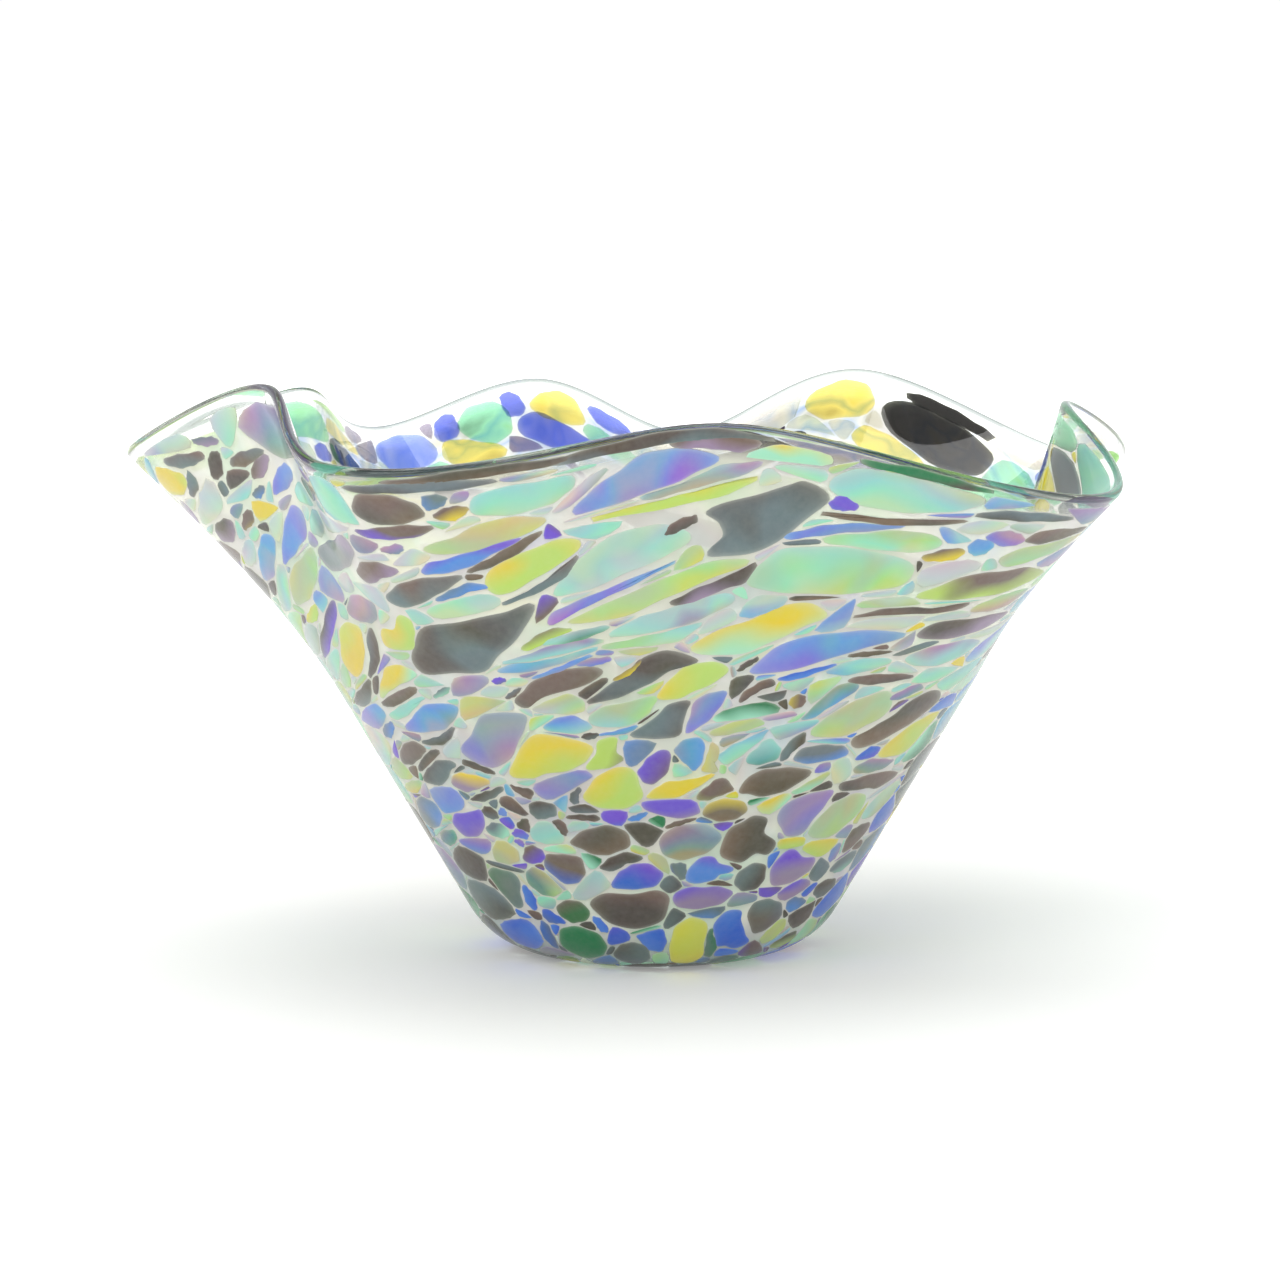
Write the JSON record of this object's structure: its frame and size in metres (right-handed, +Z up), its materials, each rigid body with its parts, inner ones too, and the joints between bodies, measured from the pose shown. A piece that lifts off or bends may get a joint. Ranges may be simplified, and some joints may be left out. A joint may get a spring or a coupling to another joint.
{
  "type": "fluted glass vase",
  "caption": "Low conical blown glass vase with a fluted, folded lip and coloured glass chips melted into its clear wall.",
  "frame": {"origin": "centre of the flat ground foot, on the surface that the vase stands on", "axes": "+Z up along the axis of the cone; -Y is the front, the side whose lip dips least in the middle, and +X is the viewer's right there"},
  "size_m": [0.242, 0.2167, 0.1368],
  "materials": {
    "clear_glass": "clear, fire polished, faint smoky tint",
    "blue_glass": "translucent periwinkle glass, lustred",
    "brown_glass": "translucent umber glass with a faint rainbow lustre",
    "charcoal_glass": "translucent charcoal glass with a faint rainbow lustre",
    "cobalt_glass": "translucent cobalt glass",
    "emerald_glass": "translucent emerald glass",
    "lilac_glass": "opal lilac-grey glass, lustred",
    "lime_glass": "opal lime glass, lustred",
    "mint_glass": "opal mint glass, lustred",
    "slate_glass": "translucent slate-blue glass",
    "violet_glass": "translucent violet glass",
    "yellow_glass": "opal yellow glass, lustred"
  },
  "bodies": {
    "root": {"clear_wall": "clear_glass", "charcoal_slab": "charcoal_glass", "blue_leaf": "blue_glass", "lilac_leaf": "lilac_glass", "yellow_leaf": "yellow_glass", "yellow_oval": "yellow_glass", "brown_streak": "brown_glass", "charcoal_leaf": "charcoal_glass", "dark_wedge": "charcoal_glass", "blue_wedge": "blue_glass", "gold_wedge": "yellow_glass", "gold_slab": "yellow_glass", "cobalt_slab": "blue_glass", "charcoal_hook": "charcoal_glass", "blue_lip_leaf": "blue_glass", "mint_leaf": "mint_glass", "yellow_streak": "yellow_glass", "umber_streak": "brown_glass", "lime_streak": "lime_glass", "mint_slab": "mint_glass", "lime_lip_slab": "lime_glass", "brown_lip_chip": "brown_glass", "umber_right": "brown_glass", "charcoal_right": "charcoal_glass", "lilac_right": "lilac_glass", "lime_right": "lime_glass", "charcoal_band": "charcoal_glass", "yellow_right": "yellow_glass", "slate_pill": "slate_glass", "umber_pebble": "brown_glass", "lilac_pebble": "lilac_glass", "lime_pebble": "lime_glass", "charcoal_pebble": "charcoal_glass", "grey_oval": "mint_glass", "dark_oval": "brown_glass", "violet_leaf": "violet_glass", "violet_pebble": "violet_glass", "violet_right": "violet_glass", "maroon_pebble": "brown_glass", "emerald_base": "emerald_glass", "yellow_base": "yellow_glass", "cobalt_base": "cobalt_glass", "teal_pebble": "slate_glass", "violet_left": "violet_glass", "yellow_left": "yellow_glass", "blue_left": "blue_glass", "back_charcoal": "charcoal_glass", "back_lemon": "yellow_glass", "back_gold": "yellow_glass", "back_yellow": "yellow_glass", "back_cobalt": "cobalt_glass", "back_mint": "mint_glass", "back_amber": "yellow_glass", "back_pale_blue": "blue_glass", "back_slate": "slate_glass", "lobe_green": "lime_glass", "lobe_blue": "blue_glass"}
  },
  "joints": []
}
